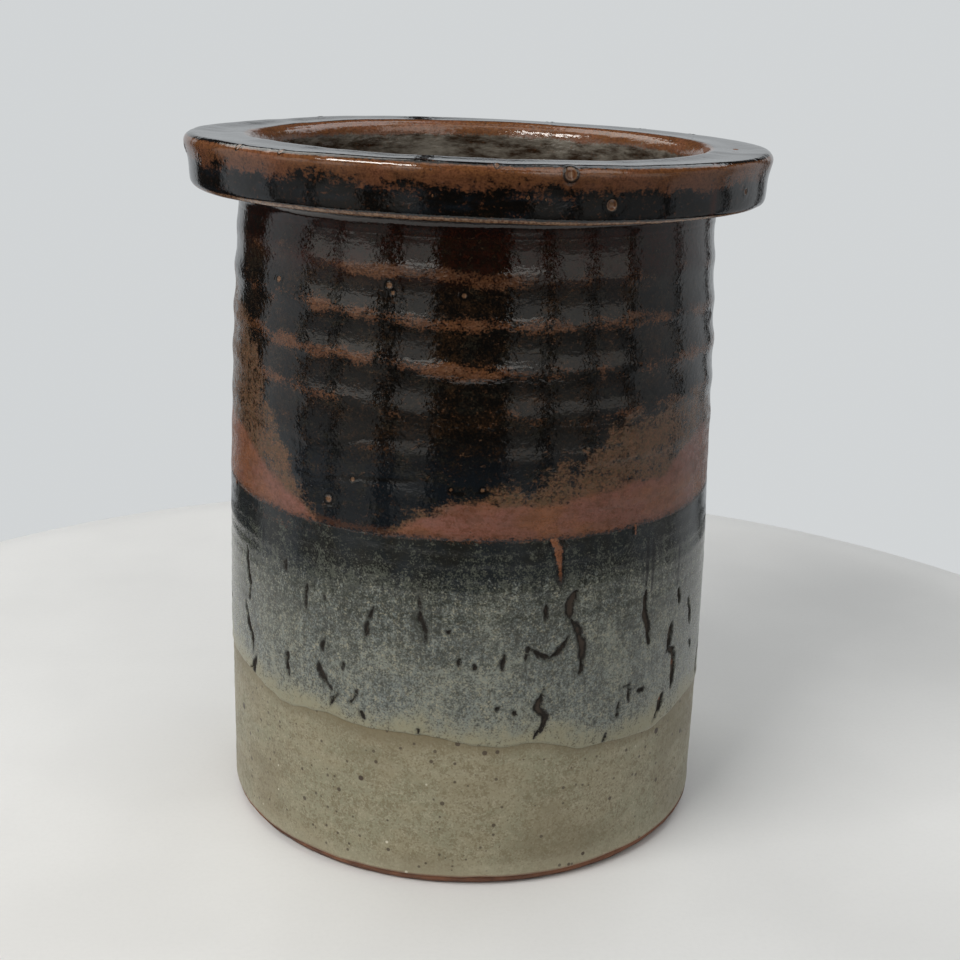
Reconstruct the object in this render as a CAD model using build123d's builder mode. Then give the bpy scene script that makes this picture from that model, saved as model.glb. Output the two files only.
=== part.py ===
from build123d import *
import os

# Stoneware jar with a thick flanged rim: thrown as a floor, a wall and a collar, then glazed.
# Millimetres, +Z up. The origin is the centre of the foot, on the surface that the jar stands on.
# Every piece is a body of revolution, drawn as a half section: radius along X, height along Y.
# The clay sizes are those of the fired body, and the glaze lies on top of them.

os.makedirs("parts", exist_ok=True)

# Driving dimensions
jar_height = 170.0         # to the top of the glazed rim
glaze_thickness = 0.8      # one fired coat
base_radius = 61.4         # clay wall just above the foot bevel
belly_radius = 61.0        # clay wall half way up
neck_radius = 57.6         # clay wall just under the rim
wall_thickness = 5.0       # clay wall at the belly
floor_thickness = 8.0      # clay floor
inside_corner = 14.0       # radius where the inner wall runs into the floor
foot_bevel = 1.6           # turned chamfer round the foot
mouth_radius = 54.1        # clay opening inside the rim
rim_radius = 70.4         # clay rim at its top edge, before it is rounded
rim_lower_radius = 68.8   # clay rim at its lower edge, before it is rounded
rim_face_height = 10.4     # clay rim's outer face, between its two edges
rim_undercut = 1.2         # the rim's underside falls this much from its lower edge to the wall

# Rounding of the rim's clay edges
rim_top_round = 1.4
rim_lower_round = 1.6
lip_round = 2.4
neck_fillet = 3.0

# Heights of the glaze lines
bare_foot = 2.6            # the lowest coat stops this far above the table and leaves a clay ring
ash_line = 37.5            # middle of the lowest coat's upper edge
ash_slant = 3.2            # degrees; that edge is lower towards +X, because the jar was dipped at a slant
dip_line = 87.0            # the black coat's lower edge, level all round
neck_line = 154.0          # the black coat meets the rim's coat just under the flange
liner_line = 163.0         # the liner meets the rim's coat inside the mouth

# Values that follow
clay_top = jar_height - glaze_thickness
rim_underside = clay_top - rim_face_height
neck_height = rim_underside - rim_undercut
belly_height = (foot_bevel + neck_height) / 2
inner_belly_radius = belly_radius - wall_thickness
floor_radius = inner_belly_radius - inside_corner
between_walls = (inner_belly_radius + neck_radius) / 2


def jar_section(skin):
    """Half section of the whole jar, grown by skin: none is bare clay, glaze_thickness is glazed."""
    foot = base_radius + skin
    neck = (neck_radius + skin, neck_height - skin)
    lower_edge = (rim_lower_radius + skin, rim_underside - skin)
    top_edge = (rim_radius + skin, clay_top + skin)
    lip = (mouth_radius - skin, clay_top + skin)
    inner_radius = inner_belly_radius - skin
    inner_floor = floor_thickness + skin
    corner_top = floor_thickness + inside_corner
    corner_sag = (inside_corner - skin) * 0.5**0.5
    with BuildSketch() as section:
        with BuildLine():
            Polyline((0, inner_floor), (0, 0), (foot - foot_bevel, 0), (foot, foot_bevel))
            ThreePointArc((foot, foot_bevel), (belly_radius + skin, belly_height), neck)
            Polyline(neck, lower_edge, top_edge, lip, (inner_radius, corner_top))
            ThreePointArc(
                (inner_radius, corner_top),
                (floor_radius + corner_sag, corner_top - corner_sag),
                (floor_radius, inner_floor),
            )
            Line((floor_radius, inner_floor), (0, inner_floor))
        make_face()
        fillet(section.vertices().sort_by_distance(top_edge)[0], radius=rim_top_round + skin)
        fillet(section.vertices().sort_by_distance(lower_edge)[0], radius=rim_lower_round + skin)
        fillet(section.vertices().sort_by_distance(lip)[0], radius=lip_round + skin)
        fillet(section.vertices().sort_by_distance(neck)[0], radius=neck_fillet - skin)
    return section.sketch


def keep_window(inner_radius, outer_radius, low, high):
    """Keep only what the section being drawn has between two radii and two heights."""
    with Locations(((inner_radius + outer_radius) / 2, (low + high) / 2)):
        Rectangle(outer_radius - inner_radius, high - low, mode=Mode.INTERSECT)


clay_section = jar_section(0)
with BuildSketch() as coat:
    add(jar_section(glaze_thickness))
    add(clay_section, mode=Mode.SUBTRACT)
coat_section = coat.sketch

outside = jar_height        # a radius well outside the jar
ash_plane = Plane.XY.offset(ash_line).rotated((0, ash_slant, 0))

# Floor: the slab inside the wall's foot
with BuildPart() as clay_floor:
    with BuildSketch(Plane.XZ):
        add(clay_section)
        keep_window(0, floor_radius, 0, neck_height)
    revolve(axis=Axis.Z)
clay_floor.part.label = "clay_floor"
export_step(clay_floor.part, "parts/clay_floor.step")

# Wall: from the foot bevel up to the joint with the rim, with the rounded inside corner
with BuildPart() as clay_wall:
    with BuildSketch(Plane.XZ):
        add(clay_section)
        keep_window(floor_radius, outside, 0, neck_height)
    revolve(axis=Axis.Z)
clay_wall.part.label = "clay_wall"
export_step(clay_wall.part, "parts/clay_wall.step")

# Rim: the collar that carries the flange, from the joint to the lip
with BuildPart() as clay_rim:
    with BuildSketch(Plane.XZ):
        add(clay_section)
        keep_window(0, outside, neck_height, jar_height)
    revolve(axis=Axis.Z)
clay_rim.part.label = "clay_rim"
export_step(clay_rim.part, "parts/clay_rim.step")

# Liner: the coat over the inner floor and wall
with BuildPart() as inside_glaze:
    with BuildSketch(Plane.XZ):
        add(coat_section)
        keep_window(0, between_walls, foot_bevel, liner_line)
    revolve(axis=Axis.Z)
inside_glaze.part.label = "inside_glaze"
export_step(inside_glaze.part, "parts/inside_glaze.step")

# Ash coat: from the bare foot ring up to the slanted glaze line
with BuildPart() as ash_glaze:
    with BuildSketch(Plane.XZ):
        add(coat_section)
        keep_window(between_walls, outside, bare_foot, dip_line)
    revolve(axis=Axis.Z)
    split(bisect_by=ash_plane, keep=Keep.BOTTOM)
ash_glaze.part.label = "ash_glaze"
export_step(ash_glaze.part, "parts/ash_glaze.step")

# Grey coat: from the slanted glaze line up to the level dip line
with BuildPart() as grey_glaze:
    with BuildSketch(Plane.XZ):
        add(coat_section)
        keep_window(between_walls, outside, bare_foot, dip_line)
    revolve(axis=Axis.Z)
    split(bisect_by=ash_plane, keep=Keep.TOP)
grey_glaze.part.label = "grey_glaze"
export_step(grey_glaze.part, "parts/grey_glaze.step")

# Black coat: from the dip line up to the neck, just under the flange
with BuildPart() as tenmoku_glaze:
    with BuildSketch(Plane.XZ):
        add(coat_section)
        keep_window(between_walls, outside, dip_line, neck_line)
    revolve(axis=Axis.Z)
tenmoku_glaze.part.label = "tenmoku_glaze"
export_step(tenmoku_glaze.part, "parts/tenmoku_glaze.step")

# Rim coat: over the flange's underside, face and top, and down inside the lip to the liner
with BuildPart() as rim_glaze:
    with BuildSketch(Plane.XZ):
        add(coat_section)
        keep_window(0, outside, neck_line, jar_height)
        with Locations(((floor_radius + between_walls) / 2, (neck_line + liner_line) / 2)):
            Rectangle(between_walls - floor_radius, liner_line - neck_line, mode=Mode.SUBTRACT)
    revolve(axis=Axis.Z)
rim_glaze.part.label = "rim_glaze"
export_step(rim_glaze.part, "parts/rim_glaze.step")
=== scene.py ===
import math

import bpy
import numpy as np
from mathutils import Matrix, Vector


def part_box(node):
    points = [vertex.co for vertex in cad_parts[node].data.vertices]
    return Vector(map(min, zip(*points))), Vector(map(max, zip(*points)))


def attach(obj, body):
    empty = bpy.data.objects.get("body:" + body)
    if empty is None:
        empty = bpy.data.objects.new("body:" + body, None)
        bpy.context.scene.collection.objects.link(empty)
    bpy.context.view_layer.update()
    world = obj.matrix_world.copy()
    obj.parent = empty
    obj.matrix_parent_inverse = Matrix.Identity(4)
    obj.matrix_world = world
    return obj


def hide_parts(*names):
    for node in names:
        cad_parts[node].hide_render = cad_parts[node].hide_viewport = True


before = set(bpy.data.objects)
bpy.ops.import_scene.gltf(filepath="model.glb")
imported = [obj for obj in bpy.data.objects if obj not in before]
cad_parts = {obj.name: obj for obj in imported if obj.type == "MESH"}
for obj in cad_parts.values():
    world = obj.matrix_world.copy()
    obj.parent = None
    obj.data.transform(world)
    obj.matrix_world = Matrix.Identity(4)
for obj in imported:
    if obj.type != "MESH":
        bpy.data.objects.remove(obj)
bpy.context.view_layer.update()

# A stoneware jar with a thick flanged rim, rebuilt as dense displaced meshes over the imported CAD.
# Lengths are millimetres until a mesh is written, and metres for the lights and the camera. Angles
# are degrees round the jar: 0 faces -Y and +90 faces +X. Every surface is a radius at an angle and
# a height, so nothing has a seam.

MM = 0.001


LOW = 0
HIGH = 1


def corner(node, end):
    """The LOW or HIGH corner of a CAD node's box, in millimetres."""
    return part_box(node)[end] / MM


# ---- Sizes, from the frame where it has them ----

JAR_TOP = corner("rim_glaze", HIGH).z
BARE_FOOT = corner("ash_glaze", LOW).z
DIP_LINE = corner("tenmoku_glaze", LOW).z
NECK_LINE = corner("tenmoku_glaze", HIGH).z
LINER_LINE = corner("inside_glaze", HIGH).z
ASH_LINE = (corner("ash_glaze", HIGH).z + corner("grey_glaze", LOW).z) / 2
ASH_SLANT = (corner("ash_glaze", HIGH).z - corner("grey_glaze", LOW).z) / 2
FLOOR_RADIUS = corner("clay_floor", HIGH).x
FLOOR_THICKNESS = corner("clay_floor", HIGH).z
CLAY_RADIUS = corner("clay_wall", HIGH).x
JOINT_HEIGHT = corner("clay_wall", HIGH).z
GLAZE = 0.8

# The glazed wall's radius near the foot, half way up and at the neck, as in the CAD
WALL_POINTS = ((1.6, 62.2), (79.6, 61.8), (156.8, 58.4))
MOUTH_RADIUS = 53.3
INSIDE_RADIUS = 55.2
INSIDE_CORNER = 13.2
FOOT_BEVEL = 1.6
RIM_NECK = (58.4, 156.8)
RIM_LOWER_EDGE = (69.6, 158.0)
RIM_TOP_EDGE = (71.2, 170.0)
RIM_LIP = (53.3, 170.0)

# Noise and cracks are measured along a wall of this radius
MEAN_RADIUS = 61.0
MM_PER_DEGREE = 1.07
# Edges that turn by more than this are shaded sharp
SHARP_ANGLE = math.radians(62)
# Points round each piece: about one for each half millimetre where it is seen closely
TENMOKU_COLUMNS = 740
GREY_COLUMNS = 790
ASH_COLUMNS = 780
RIM_COLUMNS = 820
LINER_COLUMNS = 400
WALL_COLUMNS = 720
FLOOR_COLUMNS = 360
TABLE_COLUMNS = 180

WALL_CURVE = np.polyfit([h for h, r in WALL_POINTS], [r for h, r in WALL_POINTS], 2)


def wall_radius(height):
    """Radius of the smooth glazed wall, without any ridge or wobble."""
    return np.polyval(WALL_CURVE, height)


# ---- Smooth noise and curves round the jar ----

NOISE_REACH = 260
NOISE_START = -30.0


def ring_noise(seed, angle, height, across, tall):
    """Seamless noise from -1 to 1 in patches about `across` mm wide and `tall` mm high."""
    around = max(3, round(2 * math.pi * MEAN_RADIUS / across))
    rows = int(NOISE_REACH / tall) + 4
    table = np.random.default_rng(seed).uniform(-1, 1, (rows, around))
    u = (np.asarray(angle, float) / 360.0) % 1.0 * around
    v = (np.asarray(height, float) - NOISE_START) / tall
    column = np.floor(u).astype(int)
    row = np.clip(np.floor(v).astype(int), 0, rows - 2)
    fu = u - column
    fv = np.clip(v - row, 0, 1)
    fu = fu * fu * (3 - 2 * fu)
    fv = fv * fv * (3 - 2 * fv)
    column = column % around
    beside = (column + 1) % around
    low = table[row, column] * (1 - fu) + table[row, beside] * fu
    high = table[row + 1, column] * (1 - fu) + table[row + 1, beside] * fu
    return low * (1 - fv) + high * fv


def ring_curve(points, angle, softness=2.0):
    """A closed curve through (angle, value) points, its corners rounded by softness degrees."""
    step = 0.5
    grid = np.arange(0, 360, step)
    points = sorted((a % 360, v) for a, v in points)
    line = np.interp(grid, [a for a, v in points], [v for a, v in points], period=360)
    reach = int(softness * 3 / step) + 1
    offsets = np.arange(-reach, reach + 1)
    weights = np.exp(-0.5 * (offsets * step / softness) ** 2)
    padded = np.concatenate([line[-reach:], line, line[:reach]])
    smooth = np.convolve(padded, weights / weights.sum(), mode="valid")
    return np.interp(np.asarray(angle, float) % 360, grid, smooth, period=360)


def ease(value, low, high):
    """0 at low, 1 at high, smooth between."""
    t = np.clip((value - low) / (high - low), 0, 1)
    return t * t * (3 - 2 * t)


def hump(value, centre, width):
    """A smooth bump of height 1 at centre."""
    return np.exp(-((value - centre) / width) ** 2)


def turn(angle, centre):
    """Degrees from centre to angle, the short way round."""
    return (angle - centre + 180) % 360 - 180


# ---- The glaze lines ----

# Top of the rust-coloured lobes of the black coat: it dips to the dip line in a narrow shield
# left of the front, and again twice at the back
RUST_TOP = (
    (-78, 140), (-62, 131), (-56, 123), (-51, 113), (-43, 101), (-36, 92), (-31, 86.5), (-25, 83),
    (-19, 86.5), (-11, 93), (-5, 96), (0, 97.5), (13, 101), (20, 104.5), (29, 110), (41, 114.5),
    (50, 116.5), (63, 117), (78, 113), (92, 104), (103, 94), (110, 86), (115, 84), (121, 88),
    (133, 97), (148, 108), (166, 113), (184, 108), (198, 97), (208, 87), (213, 84), (219, 88),
    (230, 99), (244, 112), (262, 122),
)
# Height up to which the rust is solid; above it black speckle thins it out
RUST_SOLID = (
    (-78, 104), (-60, 101), (-50, 95), (-40, 91), (-31, 85), (-25, 82), (-18, 86), (-10, 91.5),
    (0, 95), (14, 95.5), (27, 97), (46, 96), (54, 101), (66, 105), (80, 101), (100, 92), (112, 84),
    (124, 90), (150, 98), (170, 96), (195, 94), (212, 83), (225, 92), (250, 99), (268, 98),
)

# How far the edge of the grey coat strays from its slanted plane, in mm
LINE_STRAYS = (
    (-78, 0.6), (-58, 1.3), (-52, -0.1), (-43, -1.0), (-36, 0.6), (-31, 1.3), (-22, 0.9), (-16, 1.2),
    (-5, 1.2), (3, 0.1), (8, -0.4), (15, 1.3), (20, 0.2), (26, -1.4), (33, -1.5), (43, -1.8),
    (48, -2.2), (54, -0.6), (63, 1.4), (75, 0.9), (90, -0.8), (104, 0.7), (118, -1.2), (133, 0.4),
    (150, 1.4), (163, -0.3), (176, -1.5), (190, 0.5), (205, 1.5), (219, -0.6), (233, -1.3), (248, 0.6),
    (262, 1.1), (273, -0.4),
)


def glaze_line(angle):
    """Height of the edge where the grey coat ends over the ash coat: slanted and uneven."""
    slant = -ASH_SLANT * np.sin(np.radians(angle))
    waves = 0.35 * ring_noise(12, angle, 0, 7, 50) + 0.25 * ring_noise(13, angle, 0, 2.2, 50)
    return ASH_LINE + slant + ring_curve(LINE_STRAYS, angle, 1.5) + waves


def dip_edge(angle):
    """Height of the black coat's lower edge."""
    edge = DIP_LINE + 0.45 * ring_noise(21, angle, 0, 26, 50) + 0.25 * ring_noise(22, angle, 0, 6, 50)
    return edge + 0.2 * ring_noise(23, angle, 0, 1.7, 50)


def foot_edge(angle):
    """Height of the ash coat's lower edge above the table."""
    return BARE_FOOT + 0.3 * ring_noise(31, angle, 0, 22, 50) + 0.16 * ring_noise(32, angle, 0, 5, 50)


# ---- Thrown form: throwing ridges, wobble ----

RIDGE_PITCH = 10.0
RIDGE_START = 146.0


def ridge_crest(angle, height):
    """1 on the crest of the throwing spiral and 0 between its turns. It runs down to the right."""
    drift = 1.1 * ring_noise(41, angle, height, 60, 40)
    phase = (height + drift - RIDGE_START + RIDGE_PITCH * turn(angle, 0) / 360.0) / RIDGE_PITCH
    return (0.5 + 0.5 * np.cos(2 * math.pi * phase)) ** 1.4


def thrown(angle, height):
    """How far the thrown wall stands off its smooth form, in mm."""
    out_of_round = 0.22 * np.cos(np.radians(2 * angle + 40)) + 0.12 * np.cos(np.radians(3 * angle - 70))
    upper = ease(height, 88, 112)
    ridges = ridge_crest(angle, height) * (0.05 + 0.40 * upper)
    ridges = ridges * (0.8 + 0.35 * ring_noise(42, angle, height, 45, 14))
    fine_rings = 0.02 * np.sin(height * 1.7 + 2.5 * ring_noise(43, angle, height, 40, 20)) * (1 - upper)
    dents = 0.13 * ring_noise(44, angle, height, 26, 17) + 0.05 * ring_noise(45, angle, height, 9, 6)
    return out_of_round + ridges + fine_rings + dents - 0.15


# ---- Cracks and craters ----

# Crawled cracks of the grey coat that face the front: width in mm, then (angle, height) points
FRONT_CRACKS = (
    (1.3, (-60.3, 73.5), (-59.6, 68), (-58.3, 65), (-58.9, 60.5)),
    (1.3, (-61.2, 59), (-59.8, 54.4), (-57.5, 51), (-57.2, 47)),
    (1.5, (-55.3, 46.8), (-56.7, 44), (-56.3, 41)),
    (1.0, (-57.4, 43.3), (-59.7, 40.8)),
    (0.6, (-43.3, 75.8), (-43.6, 73.2)),
    (1.1, (-36.7, 71.5), (-37.2, 68.9), (-36.9, 64.8)),
    (0.6, (-31.9, 69.7), (-31.7, 66.9)),
    (1.0, (-20.0, 69.5), (-21.1, 66.1), (-21.8, 61.6)),
    (1.0, (-9.9, 76.4), (-9.9, 73.9), (-9.6, 68.3), (-8.3, 65.6), (-8.4, 62.6)),
    (1.1, (-3.9, 65.8), (-3.3, 65.3)),
    (0.9, (-1.1, 59.0), (-1.2, 56.0)),
    (1.4, (-31.8, 59.4), (-32.6, 56.5)),
    (1.4, (-34.2, 54.0), (-32.8, 51), (-31.4, 48.6), (-29.8, 46.8)),
    (1.3, (-28.4, 46.2), (-30.0, 43.4)),
    (1.0, (-42.8, 52.4), (-43.2, 50), (-42.5, 46.6)),
    (0.8, (-27.0, 54.6), (-27.2, 52.8)),
    (1.0, (-23.7, 47.9), (-24.2, 46), (-25.3, 44.8)),
    (1.0, (-23.2, 43.4), (-22.0, 41.8)),
    (0.7, (-9.4, 41.2), (-9.7, 40.2)),
    (1.3, (19.4, 87.2), (20.9, 85.4)),
    (2.6, (23.6, 74.0), (22.2, 71.0), (22.5, 67.8)),
    (1.9, (22.4, 68.0), (24.4, 64.4), (25.8, 60.0), (25.5, 54.2)),
    (0.8, (16.9, 71.8), (16.7, 67.6)),
    (1.5, (13.2, 61.6), (15.8, 59.5), (18.3, 58.5), (20.6, 60.4), (22.3, 63.5)),
    (0.7, (13.0, 61.8), (12.8, 58.2)),
    (0.7, (8.4, 60.2), (7.5, 56.6)),
    (1.6, (16.9, 50.8), (15.7, 46.2), (17.7, 43.8), (16.9, 40.6)),
    (0.9, (16.6, 41.4), (15.0, 38.8)),
    (1.1, (36.2, 45.0), (35.6, 40.4)),
    (1.0, (36.7, 47.3), (38.9, 47.4), (38.9, 43.2)),
    (1.1, (41.7, 45.1), (44.3, 44.7)),
    (0.9, (32.6, 36.4), (32.2, 34.8)),
    (1.7, (43.0, 70.2), (42.7, 65), (43.8, 61.1), (44.5, 57.0)),
    (1.4, (56.4, 67.3), (56.8, 62.6)),
    (2.1, (53.7, 58.8), (52.6, 54.4), (52.2, 52.2)),
    (2.0, (52.4, 52.4), (55.0, 51.0), (55.6, 46.1), (55.0, 41.0)),
    (1.3, (62.2, 62.4), (63.9, 58.3), (64.2, 54.2)),
    (1.1, (65.0, 50.0), (66.0, 48.2)),
    (2.1, (51.1, 40.8), (50.0, 37.8), (49.2, 36.6)),
    (1.0, (49.6, 37.6), (47.8, 34.6)),
    (0.9, (6.9, 47.1), (7.0, 46.6)),
    (1.0, (10.8, 45.9), (10.9, 45.3)),
    (1.0, (2.1, 57.4), (2.3, 56.7)),
)


def back_cracks():
    """More cracks of the same kind for the side away from the front."""
    rng = np.random.default_rng(77)
    count = 46
    first = 74
    sweep = 210
    cracks = []
    for number in range(count):
        angle = first + (number + rng.uniform(0.1, 0.9)) * (sweep / count)
        height = rng.choice([rng.uniform(62, 77), rng.uniform(50, 62), rng.uniform(41, 50)])
        length = rng.uniform(2.0, 11.0) if rng.random() < 0.7 else rng.uniform(1.0, 2.5)
        width = rng.uniform(0.7, 1.3) + 0.07 * length
        steps = 2 + int(length / 3.2)
        points = [(angle, height)]
        for _ in range(steps):
            angle = angle + rng.normal(0, 1.1)
            height = height - length / steps
            points.append((angle, max(height, 37.0)))
        cracks.append((width, *points))
    return cracks


def swollen(along):
    """Width of a crack along its length: widest in the middle."""
    return 0.25 + 0.75 * np.sin(math.pi * np.clip(along, 0.04, 0.96)) ** 0.7


def tapering(along):
    """Width of a drip along its length: widest at its start."""
    return 1.0 - 0.86 * np.clip(along, 0, 1) ** 0.6


def crack_distance(angle, height, cracks, profile=swollen):
    """Millimetres to the edge of the nearest crack, negative inside one."""
    nearest = np.full(np.shape(angle), 9.0)
    for width, *points in cracks:
        steps = [((b[0] - a[0]) * MM_PER_DEGREE, b[1] - a[1]) for a, b in zip(points, points[1:])]
        spans = [math.hypot(*step) for step in steps]
        total = sum(spans)
        done = 0.0
        for a, (ex, ey), span in zip(points, steps, spans):
            dx = turn(angle, a[0]) * MM_PER_DEGREE
            dy = height - a[1]
            t = np.clip((dx * ex + dy * ey) / (span * span), 0, 1)
            away = np.hypot(dx - t * ex, dy - t * ey)
            along = (done + t * span) / total
            half = 0.5 * width * profile(along)
            nearest = np.minimum(nearest, away - half)
            done += span
    return nearest


# Drips that run from the dip line over the grey coat, narrowing as they fall
DRIPS = (
    (3.6, (18.3, 88.2), (18.9, 86.0), (19.3, 83.6), (19.7, 80.0), (19.9, 76.6)),
    (1.5, (38.5, 88.2), (38.6, 85.2)),
    (2.2, (94.8, 88.0), (95.3, 84.5), (95.4, 82.0)),
    (3.0, (142.6, 88.0), (143.2, 84.0), (143.4, 79.0)),
    (1.8, (176.2, 88.0), (176.4, 84.2)),
    (2.6, (241.3, 88.0), (241.0, 84.5), (241.2, 81.0)),
    (1.6, (291.2, 88.0), (291.0, 84.4)),
)


# Thin dark runs, straight down from near the dip line
DARK_RUNS = (
    (0.7, (42.9, 83.2), (43.1, 78.0), (42.8, 71.6)),
    (0.6, (44.9, 82.4), (45.0, 76.0), (44.8, 69.8)),
    (0.6, (55.6, 80.0), (55.8, 73.0), (55.6, 68.4)),
    (0.6, (-52.0, 82.0), (-52.2, 76.0)),
    (0.6, (118.0, 83.0), (118.2, 74.0)),
    (0.7, (167.0, 82.0), (166.8, 71.0)),
    (0.6, (224.0, 83.0), (224.2, 76.0)),
    (0.6, (262.0, 82.0), (261.9, 73.0)),
)


def even(along):
    """Width of a run along its length: the same all the way, but for its ends."""
    return 0.3 + 0.7 * np.sin(math.pi * np.clip(along, 0.03, 0.97)) ** 0.3


# Burst bubbles: angle, height, radius in mm
WALL_CRATERS = (
    (-31.2, 93.3, 1.0), (-25.3, 98.9, 0.7), (-48.0, 140.6, 0.9), (-18.0, 142.8, 0.9),
    (-2.2, 141.5, 0.7), (2.6, 99.0, 0.6), (-3.9, 98.9, 0.5), (-17.2, 141.2, 0.6), (72.0, 131.0, 0.9),
    (104.0, 118.0, 1.0), (131.0, 142.0, 0.8), (160.0, 126.0, 1.1), (187.0, 138.0, 0.7),
    (209.0, 101.0, 1.0), (236.0, 133.0, 0.9), (259.0, 146.0, 0.7), (117.0, 95.0, 0.8),
)


def crater_distance(angle, height, craters, radius=MEAN_RADIUS):
    """Distance from the nearest crater's middle as a share of that crater's radius."""
    nearest = np.full(np.shape(angle), 9.0)
    for centre, level, size in craters:
        away = np.hypot(turn(angle, centre) * math.pi / 180 * radius, height - level)
        nearest = np.minimum(nearest, away / size)
    return nearest


def crater_relief(share, depth):
    """A bowl with a raised ring round it."""
    return depth * (0.55 * hump(share, 1.15, 0.35) - 1.0 * (1 - ease(share, 0.3, 1.0)))


# ---- Meshes ----

def face_outwards(points, faces):
    """The faces of a closed solid, turned round if they face inwards."""
    volume = 0.0
    for group in faces:
        for corner in range(1, group.shape[1] - 1):
            second = points[group[:, corner]]
            third = points[group[:, corner + 1]]
            volume += np.sum(points[group[:, 0]] * np.cross(second, third))
    return faces if volume > 0 else [group[:, ::-1] for group in faces]


def write_mesh(name, points, faces, values):
    """Object from points in mm, arrays of quads and triangles, and named values at the points."""
    faces = face_outwards(points, faces)
    mesh = bpy.data.meshes.new(name)
    mesh.vertices.add(len(points))
    mesh.vertices.foreach_set("co", (points * MM).astype(np.float32).ravel())
    corners = np.concatenate([group.ravel() for group in faces])
    sizes = np.concatenate([np.full(len(group), group.shape[1]) for group in faces])
    mesh.loops.add(len(corners))
    mesh.loops.foreach_set("vertex_index", corners.astype(np.int32))
    mesh.polygons.add(len(sizes))
    starts = np.concatenate([[0], np.cumsum(sizes)[:-1]])
    mesh.polygons.foreach_set("loop_start", starts.astype(np.int32))
    mesh.update(calc_edges=True)
    mesh.validate()
    mesh.shade_smooth()
    mesh.set_sharp_from_angle(angle=SHARP_ANGLE)
    for key, value in values.items():
        attribute = mesh.attributes.new(key, "FLOAT", "POINT")
        attribute.data.foreach_set("value", value.astype(np.float32).ravel())
    piece = bpy.data.objects.new(name, mesh)
    bpy.context.scene.collection.objects.link(piece)
    return piece


def cylinder_points(radius, angle, height):
    """XYZ of points given by radius, angle and height arrays."""
    a = np.radians(angle)
    return np.stack([radius * np.sin(a), -radius * np.cos(a), height + 0 * a], axis=-1).reshape(-1, 3)


def ring_faces(rows, columns, closed):
    """Quads of a grid round the jar, and from its last row to its first where closed is true."""
    row = np.arange(rows if closed else rows - 1)[:, None]
    column = np.arange(columns)[None, :]
    beside = (column + 1) % columns
    here = row * columns
    above = (row + 1) % rows * columns
    quads = np.stack([here + column, here + beside, above + beside, above + column], axis=-1)
    return quads.reshape(-1, 4)


def closed_ring(name, radius, angle, height, values):
    """A solid ring. Its section runs up the outside and back down the inside, one row for each point."""
    points = cylinder_points(radius, angle, height)
    return write_mesh(name, points, [ring_faces(*radius.shape, True)], values)


def closed_bowl(name, radius, angle, height, values):
    """A solid whose section starts and ends on the axis."""
    rows, columns = radius.shape
    points = cylinder_points(radius, angle, height)
    ends = np.array([[0, 0, height[0].mean()], [0, 0, height[-1].mean()]])
    column = np.arange(columns)
    beside = (column + 1) % columns
    first = np.stack([np.full(columns, len(points)), beside, column], axis=-1)
    last_row = (rows - 1) * columns
    last = np.stack([np.full(columns, len(points) + 1), last_row + column, last_row + beside], axis=-1)
    for key, value in values.items():
        values[key] = np.append(value.ravel(), [value[0].mean(), value[-1].mean()])
    faces = [ring_faces(rows, columns, False), first, last]
    return write_mesh(name, np.vstack([points, ends]), faces, values)


def rounded_path(corners, step):
    """Points about step mm apart along a path of (radius, height, rounding) corners."""
    corners = [(np.array(c[:2], float), c[2]) for c in corners]
    marks = [corners[0][0]]
    for (before, _), (here, rounding), (after, _) in zip(corners, corners[1:], corners[2:]):
        if rounding == 0:
            marks.append(here)
            continue
        towards = (before - here) / np.linalg.norm(before - here)
        away = (after - here) / np.linalg.norm(after - here)
        half = math.acos(float(np.clip(towards @ away, -1, 1))) / 2
        reach = rounding / math.tan(half)
        middle = here + (towards + away) / np.linalg.norm(towards + away) * rounding / math.sin(half)
        start, end = here + towards * reach - middle, here + away * reach - middle
        sweep = math.pi - 2 * half
        count = max(3, int(rounding * sweep / step) + 1)
        for t in np.linspace(0, 1, count):
            weight_a = math.sin((1 - t) * sweep) / math.sin(sweep)
            weight_b = math.sin(t * sweep) / math.sin(sweep)
            marks.append(middle + start * weight_a + end * weight_b)
    marks.append(corners[-1][0])
    path = [marks[0]]
    for a, b in zip(marks, marks[1:]):
        count = max(1, int(round(np.linalg.norm(b - a) / step)))
        path.extend(a + (b - a) * t for t in np.linspace(0, 1, count + 1)[1:])
    return np.array(path)


def path_normals(path):
    """Unit normals of a path, to the right of its direction: outwards where it runs up the outside."""
    along = np.gradient(path, axis=0)
    along /= np.linalg.norm(along, axis=1)[:, None]
    return np.stack([along[:, 1], -along[:, 0]], axis=-1)


# ---- The coats on the outer wall ----

def columns_of(count):
    """Evenly spaced angles all round, as one row."""
    return np.linspace(-180, 180, count, endpoint=False)[None, :]


def spun(path, count):
    """Angles, radii and heights of a path turned round the axis, one row for each of its points."""
    angle = np.broadcast_to(columns_of(count), (len(path), count))
    radius = np.array(np.broadcast_to(path[:, :1], angle.shape))
    height = np.array(np.broadcast_to(path[:, 1:], angle.shape))
    return angle, radius, height


def coat_grid(angle, low, high, rows, inner_rows):
    """Angles and heights of a coat's grid: rows up its outside, then inner_rows down its inside."""
    up = np.linspace(0, 1, rows)[:, None]
    down = np.linspace(1, 0, inner_rows)[:, None]
    height = low + (high - low) * np.vstack([up, down])
    return np.broadcast_to(angle, height.shape), height


# How far the coats reach under their neighbours, and the depths and heights of what is on them
NECK_LAP = 0.8
DIP_LAP = 1.7
LINE_LAP = 0.7
WALL_CRATER_DEPTH = 0.28
CREASE_DEPTH = 0.07
CRACK_DEPTH = 0.5
DRIP_HEIGHT = 0.22


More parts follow.
